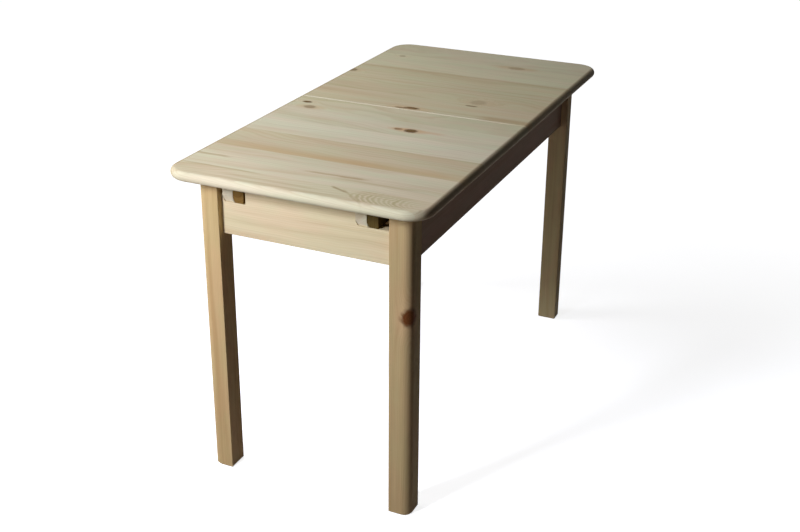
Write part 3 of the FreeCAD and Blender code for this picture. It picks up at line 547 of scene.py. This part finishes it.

NEAR_SPAN = (-HALF_LENGTH, SEAM)
NEAR_BOARDS = [
    # the round of the front edge is tinted whiter and bluer than the board behind it: a painted highlight
    Board(-HALF_LENGTH, (247, 248, 244), (0.0, -0.12), 0.13, 0.05, 0.35),
    Board(-HALF_LENGTH + BULLNOSE_HIGHLIGHT_STRIP, (242, 238, 230), (0.0, -0.12), 0.13, 0.05, 0.35),
    Board(-534.0, (247, 246, 242), (0.3, -0.5), 0.71, 0.0, 0.25),
    Board(NEAR_TAN_JOINT, (235, 230, 220), (-0.3, -0.4), 0.37, 0.02, 0.3),
    Board(-283.0, (250, 252, 252), (0.4, -0.5), 0.05, 0.01, 0.25),
    Board(-186.0, (245, 247, 245), (-0.1, -0.3), 0.59, 0.02, 0.2),
    Board(-90.0, (242, 245, 239), (0.3, -0.3), 0.93, 0.0, 0.3),
]
NEAR_KNOTS = [
    Knot((36, -143, TOP), (11, 7), (0.2, 0.0, 1.0), dark=0.95),
    Knot((68, -144, TOP), (16, 12), (0.3, 0.1, 1.0), halo=1.2),
    Knot((-254, -44, TOP), (13, 7), (0.1, 0.3, 1.0), halo=0.5),
    Knot((-229, -78, TOP), (16, 12), (-0.2, 0.1, 1.0), dark=0.5, halo=0.8),
]
NEAR_STREAKS = [
    Streak((0, -388), ACROSS, 34, TAN, 0.42, joint=NEAR_TAN_JOINT),
    Streak((-40, -396), 190, 18, TAN, 0.35, joint=NEAR_TAN_JOINT),
    Streak((120, -390), 200, 16, TAN, 0.25, joint=NEAR_TAN_JOINT),
    Streak((-60, -300), ACROSS, 16, (206, 180, 142), 0.22, joint=NEAR_TAN_JOINT),
    Streak((100, -140), 60, 12, (206, 166, 124), 0.45),
    Streak((52, -141), 36, 10, (214, 152, 104), 0.5, waver=0.0),
    Streak((-258, -472), 60, 7, STAIN, 0.6),
    Streak((50, -476), 90, 7, STAIN, 0.6, 0.03),
    Streak((84, -478), 34, 6, STAIN, 0.5, 0.03),
    Streak((150, -488), 120, 8, STAIN, 0.3, 0.02),
    Streak((-196, -534), 120, 6, STAIN, 0.4, -0.01),
    Streak((-60, -562), 140, 8, STAIN, 0.3),
    Streak((90, -544), 26, 6, (148, 124, 80), 0.7, -0.42, waver=0.0),
    Streak((130, -568), 40, 6, (164, 144, 100), 0.4, -0.85, waver=0.0),
    Streak((-40, -582), 220, 9, STAIN, 0.28),
    Streak((-170, -66), 70, 18, (202, 178, 140), 0.3),
]
FRONT_ARCHES = [
    Arches((112, -558), half_width=29, length=170, depth=90, lean=0.22, ring=2.6,
           tone=(164, 148, 98), strength=0.6),
]

FAR_SPAN = (SEAM, HALF_LENGTH)
FAR_BOARDS = [
    Board(SEAM, (236, 232, 222), (0.3, -0.3), 0.21, 0.0, 0.3),
    Board(109.0, (233, 230, 218), (-0.3, -0.4), 0.83, 0.01, 0.3),
    Board(215.0, (232, 231, 219), (0.2, -0.5), 0.47, 0.0, 0.25),
    Board(334.0, (241, 243, 235), (-0.2, -0.4), 0.09, 0.02, 0.25),
    Board(470.0, (240, 242, 237), (0.3, -0.5), 0.65, 0.0, 0.25),
]
FAR_KNOTS = [
    Knot((-2, 17, TOP), (20, 9), (0.1, 0.2, 1.0)),
    Knot((-28, 11, TOP), (18, 5), (0.1, 0.2, 1.0), dark=0.7, halo=0.6),
    Knot((122, 95, TOP), (16, 5), (0.0, 0.2, 1.0), dark=0.7, halo=0.4),
    Knot((128, 129, TOP), (21, 18), (0.2, 0.0, 1.0), dark=0.28, halo=0.4, ragged=0.9),
    Knot((107, 469, TOP), (24, 12), (0.0, 0.1, 1.0), dark=0.35, halo=0.6),
    Knot((-288, 270, TOP), (14, 13), (0.3, 0.0, 1.0), dark=0.7, halo=0.5),
    Knot((-225, 457, TOP), (9, 8), (0.0, 0.0, 1.0), dark=0.4, halo=0.4),
]
FAR_STREAKS = [
    Streak((260, 18), 110, 24, (166, 134, 92), 0.55),
    Streak((0, 336), ACROSS, 12, (176, 148, 108), 0.45),
    Streak((0, 216), ACROSS, 7, (184, 158, 120), 0.35),
    Streak((0, 62), ACROSS, 22, (200, 176, 136), 0.25),
    Streak((0, 290), ACROSS, 22, (202, 180, 140), 0.25),
    Streak((107, 470), 70, 18, (190, 162, 122), 0.35),
    Streak((-60, 2.4), 380, 4.2, (232, 224, 200), 0.5, waver=0.0),       # a painted highlight along the seam's edge
]


# ---------------------------------------------------------------------------------------------
# Materials of the pieces
# ---------------------------------------------------------------------------------------------
WHOLE = (-2000.0, 2000.0)      # wider than any piece, in millimetres


def single(pith_across, pith_deep, seed, tilt=0.0, contrast=0.35):
    """A piece cut from one board."""
    return [Board(WHOLE[0], (255, 255, 255), (pith_across, pith_deep), seed, tilt, contrast)]


# Tones are fitted to the photograph, and some make up for light that the lamps don't match: the right
# apron and the near right leg are darker than their like, the far right leg is paler, and the runners
# are dark, as they are seen in shade.
APRON_TONE = (248, 244, 236)
SHADED_APRON_TONE = (192, 168, 166)
LEG_TONE = (233, 211, 178)
SHADED_LEG_TONE = (217, 199, 169)
# painted light: the far right leg is tinted paler than the other legs
LEG_TONE_PAINTED_LIGHTER = (255, 246, 226)
# the runners' dark tones are partly their own dark end grain and partly painted shade; the right runners'
# darker tone is painted shade
LEFT_RUNNER_TONE = (146, 120, 76)
RIGHT_RUNNER_TONE = (104, 92, 58)
LEG_KNOT = Knot((250, -544, 486), (21, 18), (-1.0, 1.0, -0.35), rust=0.6)
PALE = {"early": PALE_EARLY, "late": PALE_LATE}
PALE_APRON = {"tone": APRON_TONE, **PALE}

MATERIALS = {
    "near_top_panel": wood("pine_near_top", "XYZ", NEAR_BOARDS, NEAR_SPAN, NEAR_KNOTS, NEAR_STREAKS,
                           shine=0.05, arches=FRONT_ARCHES, end_grain_and_shade=TOP_END_GRAIN_AND_SHADE),
    "far_top_panel": wood("pine_far_top", "XYZ", FAR_BOARDS, FAR_SPAN, FAR_KNOTS, FAR_STREAKS,
                          shine=0.05, end_grain_and_shade=TOP_END_GRAIN_AND_SHADE),
    "end_apron_near": wood("pine_apron_near", "XZY", single(0.5, -0.3, 0.3, 0.0, 0.24), WHOLE, ring=2.2,
                           **PALE_APRON),
    "end_apron_far": wood("pine_apron_far", "XZY", single(0.5, 0.7, 0.8), WHOLE, **PALE_APRON),
    "side_apron_left": wood("pine_apron_left", "YZX", single(0.5, -0.2, 0.4), WHOLE, **PALE_APRON),
    "side_apron_right": wood("pine_apron_right", "YZX", single(0.5, 0.4, 0.9), WHOLE,
                             tone=SHADED_APRON_TONE),
    "leg_near_left": wood("pine_leg_near_left", "ZXY", single(-0.5, -0.6, 0.2, 0.01), WHOLE,
                          tone=LEG_TONE),
    "leg_near_right": wood("pine_leg_near_right", "ZXY", single(0.5, -0.7, 0.6, -0.01), WHOLE, [LEG_KNOT],
                           tone=SHADED_LEG_TONE),
    # painted light: paler wood and tone on the far right leg
    "leg_far_right": wood("pine_leg_far_right", "ZXY", single(0.6, 0.5, 0.1, 0.01), WHOLE,
                          tone=LEG_TONE_PAINTED_LIGHTER, **PALE),
    "leg_far_left": wood("pine_leg_far_left", "ZXY", single(-0.6, 0.5, 0.5), WHOLE, tone=LEG_TONE),
}
RAIL_WOOD = wood("pine_rails", "YXZ", single(0.1, 0.72, 0.35), WHOLE, tone=(247, 248, 248), ring=2.4)
RUNNER_GRAIN = single(-0.16, 0.69, 0.75, 0.0, 0.9)
# one wood for both sets of runners; the right set's darker tone is painted shade
LEFT_RUNNERS = wood("pine_left_runners", "YXZ", RUNNER_GRAIN, WHOLE, tone=LEFT_RUNNER_TONE, ring=4.5)
RIGHT_RUNNERS = wood("pine_right_runners", "YXZ", RUNNER_GRAIN, WHOLE, tone=RIGHT_RUNNER_TONE, ring=4.5)
BEARER_WOOD = wood("pine_bearers", "XYZ", single(0.0, 0.58, 0.15), WHOLE, tone=(236, 214, 180))
BLOCK_WOOD = wood("pine_blocks", "XYZ", single(0.1, 0.55, 0.55), WHOLE, tone=(232, 208, 172))
LEAF_SPAN = (-200.0, 200.0)
LEAF_BOARDS = [
    Board(LEAF_SPAN[0], (250, 244, 226), (0.1, 0.2), 0.25),
    Board(-60.0, (242, 228, 202), (-0.1, 0.3), 0.45),
    Board(20.0, (252, 248, 236), (0.05, 0.25), 0.85),
]
LEAF_WOOD = wood("pine_leaf", "YXZ", LEAF_BOARDS, LEAF_SPAN)
DOWEL_WOOD = wood("beech_dowels", "XYZ", single(0.0, 0.4, 0.65), WHOLE, tone=(226, 190, 146), ring=1.6)
ZINC = zinc_plate("zinc_plate")

# Words in the other nodes' names, in the order in which they are tried
MATERIALS_BY_WORD = [
    ("bolt", ZINC),
    ("screws", ZINC),
    ("dowels", DOWEL_WOOD),
    ("pins", DOWEL_WOOD),
    ("guide_rail", RAIL_WOOD),
    ("runner_left", LEFT_RUNNERS),
    ("runner_right", RIGHT_RUNNERS),
    ("cross_rail", BEARER_WOOD),
    ("tie_rail", BEARER_WOOD),
    ("corner_block", BLOCK_WOOD),
    ("leaf", LEAF_WOOD),
]


def material_of(node):
    if node in MATERIALS:
        return MATERIALS[node]
    for word, material in MATERIALS_BY_WORD:
        if word in node:
            return material
    raise RuntimeError("no material for " + node)


for node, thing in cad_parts.items():
    thing.data.materials.clear()
    thing.data.materials.append(material_of(node))


# ---------------------------------------------------------------------------------------------
# Studio: pale floor, white surround, a key light, soft lights overhead and from the left, weak front fill
# ---------------------------------------------------------------------------------------------
FLOOR_HALF = 40.0              # metres
FLOOR_DROP = 0.0005            # the floor lies just under the feet
FLOOR_SHOWN = (0.8, 0.8, 0.8, 1.0)
FLOOR_BOUNCE = (0.33, 0.285, 0.275, 1.0)       # what the floor throws back at the table
SHADOW_REACH = (0.9, 2.4)      # metres from the middle of the table over which the shadow gives way
SHADOW_GLOW = 0.86             # the floor's own white where it shows the shadow
FILL = 0.004                   # the world's light on the table

# Name, place, the point that it faces, width and height in metres, watts, tint
LAMPS = [
    ("key", (-0.53, -1.88, 1.45), (0.0, -0.54, 0.55), (0.30, 0.46), 30.4, (0.935, 0.98, 1.16)),
    ("overhead", (-0.80, 0.26, 2.02), (0.0, -0.1, 0.74), (0.8, 0.8), 8.5, (0.97, 0.99, 1.07)),
    ("side", (-1.8, -0.56, 1.85), (0.0, 0.1, 0.5), (0.8, 0.8), 16.0, (0.97, 0.99, 1.07)),
    ("low_fill", (-2.2, -6.5, 0.9), (0.0, 0.0, 0.35), (1.5, 1.5), 38.0, (1.0, 1.0, 1.0)),
]


def floor_paint():
    """White where it shows as background, and a duller floor for the light that it throws back."""
    make = Shader("floor_paint")
    shown = make.shown()
    dull = make.node("BsdfDiffuse", {"Color": make.mix(shown, FLOOR_BOUNCE, FLOOR_SHOWN)})
    white = make.step(make.vector("LENGTH", make.place()), *SHADOW_REACH, SHADOW_GLOW, 1.0)
    glow = make.node("Emission", {"Color": WHITE, "Strength": make.product(shown, white)})
    total = make.node("AddShader", {0: dull.outputs[0], 1: glow.outputs[0]})
    output = [node for node in make.tree.nodes if node.type == "OUTPUT_MATERIAL"][0]
    make.feed(output.inputs["Surface"], total.outputs[0])
    return make.material


def make_floor():
    mesh = bpy.data.meshes.new("floor")
    build = bmesh.new()
    corners = [(-1, -1), (1, -1), (1, 1), (-1, 1)]
    build.faces.new([build.verts.new((x * FLOOR_HALF, y * FLOOR_HALF, -FLOOR_DROP)) for x, y in corners])
    build.to_mesh(mesh)
    build.free()
    floor = bpy.data.objects.new("floor", mesh)
    bpy.context.scene.collection.objects.link(floor)
    mesh.materials.append(floor_paint())


def make_world():
    world = bpy.data.worlds.new("surround")
    world.use_nodes = True
    make = Nodes(world.node_tree)
    back = world.node_tree.nodes["Background"]
    level = make.node("MapRange", {"Value": make.shown(), "To Min": FILL, "To Max": 1.0})
    make.feed(back.inputs["Color"], WHITE)
    make.feed(back.inputs["Strength"], level.outputs["Result"])
    bpy.context.scene.world = world


def make_lamp(name, place, target, size, power, tint):
    light = bpy.data.lights.new(name, "AREA")
    light.shape = "RECTANGLE"
    light.size, light.size_y = size
    light.energy = power
    light.color = tint
    lamp = bpy.data.objects.new(name, light)
    lamp.location = place
    lamp.rotation_mode = "QUATERNION"
    lamp.rotation_quaternion = (Vector(target) - Vector(place)).to_track_quat("-Z", "Y")
    bpy.context.scene.collection.objects.link(lamp)


make_floor()
make_world()
for lamp in LAMPS:
    make_lamp(*lamp)

# ---------------------------------------------------------------------------------------------
# Camera at the photograph's viewing angle
# ---------------------------------------------------------------------------------------------
IMAGE_WIDTH = 800.0            # pixels
CAMERA_PLACE = Vector((1.1083, -2.4997, 1.5873))
CAMERA_YAW = 0.4250            # radians to the left of +Y
CAMERA_PITCH = 0.3979          # radians below the horizon
CAMERA_ROLL = 0.0066           # radians
FOCAL_PIXELS = 1185.9
SENSOR = 36.0                  # millimetres
CENTRE_RISE = 40.0             # pixels from the middle of the image up to the lens's axis
CLIP_END = 200.0               # metres, past the far edge of the floor


def make_camera():
    ahead = Vector((-math.sin(CAMERA_YAW) * math.cos(CAMERA_PITCH),
                    math.cos(CAMERA_YAW) * math.cos(CAMERA_PITCH), -math.sin(CAMERA_PITCH)))
    level = Vector((math.cos(CAMERA_YAW), math.sin(CAMERA_YAW), 0.0))
    upright = level.cross(ahead)
    right = level * math.cos(CAMERA_ROLL) + upright * math.sin(CAMERA_ROLL)
    up = upright * math.cos(CAMERA_ROLL) - level * math.sin(CAMERA_ROLL)
    lens = bpy.data.cameras.new("camera")
    lens.sensor_width = SENSOR
    lens.lens = FOCAL_PIXELS / IMAGE_WIDTH * SENSOR
    lens.shift_y = -CENTRE_RISE / IMAGE_WIDTH
    lens.clip_end = CLIP_END
    camera = bpy.data.objects.new("camera", lens)
    turn = Matrix((right, up, -ahead)).transposed().to_4x4()
    camera.matrix_world = Matrix.Translation(CAMERA_PLACE) @ turn
    bpy.context.scene.collection.objects.link(camera)
    bpy.context.scene.camera = camera


make_camera()
bpy.context.scene.view_settings.view_transform = "Standard"
